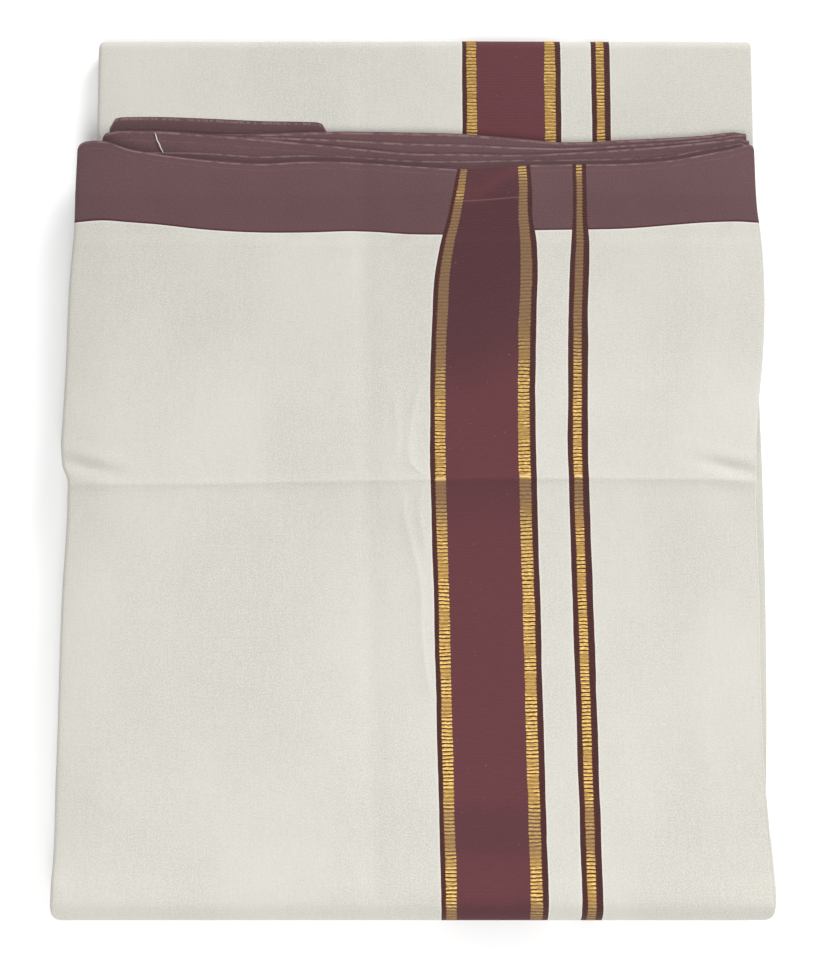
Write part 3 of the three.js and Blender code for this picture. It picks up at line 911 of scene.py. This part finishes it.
def stack_profile(leaves, columns=60):
    """The cloth's zigzag through some of its leaves, which start out leftwards or rightwards."""
    profile = []
    for i, leaf in enumerate(leaves):
        leftwards = CLOTH_ORDER.index(leaf) % 2 == 0
        before = leaves[i - 1] if i else None
        after = leaves[i + 1] if i + 1 < len(leaves) else None
        ends = [before, after][::-1] if leftwards else [before, after]
        insets = (end_inset(leaf, ends[0]), -end_inset(leaf, ends[1]))
        weft = (i * SPAN, (i + 1) * SPAN)
        run = flat(0, 1, leaf_depth(leaf), columns, insets, weft[::-1] if leftwards else weft)
        profile += run[::-1] if leftwards else run
        if after:
            depths = (leaf_depth(leaf), leaf_depth(after))
            profile += fold(0 if leftwards else 1, fold_tip(depths), depths, (i + 1) * SPAN, 8)
    return profile


def fold_tip(depths):
    """How far in from the bundle's side a hidden fold's outermost place is."""
    return FOLD_INSET - fold_reach(depths)


def end_inset(leaf, other):
    """How far from the bundle's side a leaf's straight run ends, at a fold or as a free end."""
    return FREE_INSETS[leaf] if other is None else FOLD_INSET


def outer_guides(s):
    return side_lines(outer_path, s)


def inner_guides(s):
    return side_lines(inner_path, s)


def short_guides(s):
    return SHORT_STRIP[0] + 0 * s, SHORT_STRIP[1] + 0 * s


FOOT_END = 6.0  # how far the leaves at the selvedge ends run on in ivory
SELVEDGE_ROWS = stations((-SELVEDGE, 0.0, 1.5))
FOOT_ROWS = stations((0.0, FOOT_END, 2.0))


def selvedge_leaves(name, profile, path, guides, edge, corners=None):
    """Leaves at a selvedge end: their maroon selvedges, and the first of the ivory beyond."""
    maroon = weave(name, profile, SELVEDGE_ROWS, path, guides, MAROON, "selvedge",
                   INNER_CLOTH, edge, corners=corners)
    ivory = weave(name + "_foot", profile, FOOT_ROWS, path, guides, COTTON, "ground",
                  INNER_CLOTH, edge, corners=corners)
    return maroon, ivory


front_leaves = selvedge_leaves("front_leaves", stack_profile(FRONT_INNER), outer_path,
                               outer_guides, leaf_edges(FRONT_INNER, FRONT_LEAF_EDGES))
last_leaf = selvedge_leaves(
    "front_last_leaf", flat(0, 1, leaf_depth(8), 70, (BESIDE_RETURN, -FREE_INSETS[8])),
    outer_path, outer_guides, free_edge("second"))
rear_leaves = selvedge_leaves("rear_leaves", stack_profile(CLOTH_ORDER), inner_path, inner_guides,
                              leaf_edges(CLOTH_ORDER, REAR_LEAF_EDGES))
short_strip = selvedge_leaves("short_strip", flat(0, 1, SHORT_STRIP_DEPTH, 40), inner_path,
                              short_guides, free_edge("short"), short_guides)
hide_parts("second_leaf_selvedge")
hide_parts("third_leaf_selvedge", "fifth_leaf_selvedge")
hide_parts("short_leaf_selvedge")
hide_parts("hidden_leaves")

# The sides of the stack between its selvedge ends: strips of the folds and free ends that show.
SIDE_ROW = 5.0
OUTER_SIDE_ROWS = stations((FOOT_END, FRONT_RUN, SIDE_ROW), *bend_rows(SIDE_ROW, 1.4, UNDER_ROW))
INNER_SIDE_ROWS = stations((FOOT_END, FRONT_RUN, SIDE_ROW), (FRONT_RUN, INNER_BEND_END, 0.5),
                           (INNER_BEND_END, INNER_END, UNDER_ROW))
PEEK = 2.1


def side_peek(s):
    """The second fold looks out beyond the front leaf, low on the right."""
    return PEEK * ease(198, 236, s) * (1 - ease(258, 276, s))


def right_fold(leaves):
    """A fold between two leaves on the right, with a little of each of them."""
    depths = tuple(leaf_depth(leaf) for leaf in leaves)
    ends = (-FOLD_INSET - RETURN, -FOLD_INSET)
    there = flat(1, 1, depths[0], 3, ends, (SPAN - RETURN, SPAN))
    back = flat(1, 1, depths[1], 3, ends[::-1], (SPAN + 2, SPAN + 2 + RETURN))
    return there + fold(1, fold_tip(depths), depths, SPAN, 8) + back


def right_end(leaf):
    """A leaf's free end on the right."""
    inset = FREE_INSETS[leaf]
    return flat(1, 1, leaf_depth(leaf), 4, (-inset - RETURN, -inset), (SPAN - RETURN, SPAN))


def left_wrap():
    """The fold that wraps the whole stack on the left, with a little of both faces."""
    reach = fold_reach(LEFT_FOLD)
    return left_turn() + flat(0, 0, FACE, 3, (reach, reach + RETURN), (0, RETURN))


side_strips = {}
for place, path, guides, rows, profiles in (
    ("outer", outer_path, outer_guides, OUTER_SIDE_ROWS,
     {"right_fold": right_fold((5, 6)), "right_end_7": right_end(7), "right_end_8": right_end(8)}),
    ("inner", inner_path, inner_guides, INNER_SIDE_ROWS,
     {"left_fold": left_wrap(), "right_wrap": right_fold((1, 4)), "right_fold": right_fold((5, 6)),
      "right_end_7": right_end(7), "right_end_8": right_end(8)}),
):
    for kind, across in profiles.items():
        name = place + "_" + kind
        peek = side_peek if name == "outer_right_fold" else None
        side_strips[name] = weave(name, across, rows, path, guides, COTTON, "ground",
                                  INNER_CLOTH, peek=peek)


# ---------------------------------------------------------------------------------------------
# A pale thread that has come loose from the rear selvedge
# ---------------------------------------------------------------------------------------------
THREAD = [(-100.1, 129.6), (-99.6, 128.2), (-99.2, 126.6), (-98.4, 125.2), (-97.8, 123.6),
          (-97.1, 122.3), (-96.6, 121.3)]
THREAD_RADIUS = 0.30
THREAD_SIDES = 8


def loose_thread():
    """A thread lying on the rear leaves."""
    row = np.linspace(0, len(THREAD) - 1, 40)
    x, y = (curve(range(len(THREAD)), [point[i] for point in THREAD], row) for i in (0, 1))
    height = LEDGE_TOP + INNER_LIFT + leaf_depth(8) + INNER_CLOTH / 2 + THREAD_RADIUS
    round_it = np.linspace(0, TAU, THREAD_SIDES + 1)
    swell = THREAD_RADIUS * np.sin(math.pi * (0.03 + 0.94 * row / row[-1])) ** 0.4
    x, y, z = settle(x[:, None] + swell[:, None] * np.cos(round_it),
                     y[:, None] + 0 * round_it, height + swell[:, None] * np.sin(round_it))
    mesh = bmesh.new()
    bmesh.ops.create_grid(mesh, x_segments=THREAD_SIDES, y_segments=len(row) - 1, size=0.5)
    for vertex, point in zip(mesh.verts, np.stack([x, y, z], axis=-1).reshape(-1, 3) * MM):
        vertex.co = point
    mesh.verts.index_update()
    for layer in ("cloth", "borders"):
        uv = mesh.loops.layers.uv.new(layer)
        for face in mesh.faces:
            for loop in face.loops:
                along, around = divmod(loop.vert.index, len(round_it))
                loop[uv].uv = (0.01 + around * 0.0001, 0.01 + along * 0.0002)
    bmesh.ops.remove_doubles(mesh, verts=mesh.verts, dist=1e-7)
    bmesh.ops.holes_fill(mesh, edges=mesh.edges, sides=0)
    bmesh.ops.recalc_face_normals(mesh, faces=mesh.faces)
    for face in mesh.faces:
        face.smooth = True
    return make_object("loose_thread", mesh, COTTON, "ground")


thread = loose_thread()

# ---------------------------------------------------------------------------------------------
# What each sheet was cut to, in one leaf's flat sizes
# ---------------------------------------------------------------------------------------------
OUTER_RUN = SELVEDGE + LEDGE_END  # free edge to the ledge's hidden edge
FOLD_SLACK = 2 * RETURN  # a fold's way round and back, on one side
FOLD_STRIP, END_STRIP = 2.2 * RETURN, 10.0  # how wide the strips down the sides are


def declare(piece, width, length):
    """Turns a piece's flat width and length from millimetres into metres, and keeps neither; the
    piece itself is not used.
    """
    width * MM
    length * MM


declare(outer["ground_left"], WIDTHS[0] + FOLD_SLACK, LEDGE_END)
declare(outer["wide_band_field"], WIDTHS[3], OUTER_RUN)
declare(outer["ground_middle"], WIDTHS[6], LEDGE_END)
declare(outer["ground_right"], WIDTHS[10] + FOLD_SLACK, LEDGE_END)
for name, area, slack in (("left", 0, FOLD_SLACK), ("middle", 6, 0), ("right", 10, FOLD_SLACK)):
    declare(selvedges["selvedge_" + name], WIDTHS[area] + slack, SELVEDGE)
for (maroon, ivory), width, length in (
    (front_leaves, 6 * SPAN, SELVEDGE), (last_leaf, SPAN, SELVEDGE),
    (rear_leaves, 8 * SPAN, SELVEDGE),
    (short_strip, SHORT_STRIP[1] - SHORT_STRIP[0], SELVEDGE + SHORT_STRIP_HIDDEN),
):
    declare(maroon, width, length)
for name, strip in side_strips.items():
    long = OUTER_SIDE_ROWS[-1] if name.startswith("outer") else INNER_SIDE_ROWS[-1]
    wide = END_STRIP if "end" in name else FOLD_STRIP
    declare(strip, wide, long - FOOT_END)

# ---------------------------------------------------------------------------------------------
# Stage, light and camera
# ---------------------------------------------------------------------------------------------
CAMERA_TILT = math.radians(4.6)
CAMERA_DISTANCE = 431.0
AIM = Vector((0.4, -9.35, 17.0))
SENSOR, LENS = 36.0, 42.3313
FLOOR_SIZE, FLOOR_SHADE = 3.0, 0.97
ROOM_LIGHT = 0.49
LAMPS = [
    # name, place, size, power
    ("window", (1.25, 1.85, 1.0), 1.1, 61.0),
    ("overhead", (0.0, -0.6, 0.8), 0.5, 6.0),
]


def set_camera():
    data = bpy.data.cameras.new("camera")
    data.sensor_width = SENSOR
    data.lens = LENS
    data.clip_start = 0.01
    camera = bpy.data.objects.new("camera", data)
    back = Vector((0, -math.sin(CAMERA_TILT), math.cos(CAMERA_TILT)))
    camera.location = (AIM + back * CAMERA_DISTANCE) * MM
    camera.rotation_euler = (CAMERA_TILT, 0, 0)
    bpy.context.scene.collection.objects.link(camera)
    bpy.context.scene.camera = camera


def set_stage():
    mesh = bmesh.new()
    bmesh.ops.create_grid(mesh, x_segments=1, y_segments=1, size=FLOOR_SIZE)
    data = bpy.data.meshes.new("floor")
    mesh.to_mesh(data)
    mesh.free()
    floor = bpy.data.objects.new("floor", data)
    pale = bpy.data.materials.new("pale_floor")
    pale.use_nodes = True
    shader = pale.node_tree.nodes["Principled BSDF"]
    shader.inputs["Base Color"].default_value = (FLOOR_SHADE, FLOOR_SHADE, FLOOR_SHADE, 1)
    shader.inputs["Roughness"].default_value = 1.0
    shader.inputs["Specular IOR Level"].default_value = 0.0
    data.materials.append(pale)
    bpy.context.scene.collection.objects.link(floor)


def set_lights():
    world = bpy.data.worlds.new("studio")
    world.use_nodes = True
    background = world.node_tree.nodes["Background"]
    background.inputs["Color"].default_value = (1, 1, 1, 1)
    background.inputs["Strength"].default_value = ROOM_LIGHT
    bpy.context.scene.world = world
    for name, place, size, power in LAMPS:
        data = bpy.data.lights.new(name, "AREA")
        data.size, data.energy = size, power
        lamp = bpy.data.objects.new(name, data)
        lamp.location = place
        lamp.rotation_euler = Vector(place).to_track_quat("Z", "Y").to_euler()
        bpy.context.scene.collection.objects.link(lamp)


set_camera()
set_stage()
set_lights()
bpy.context.scene.view_settings.view_transform = "Standard"
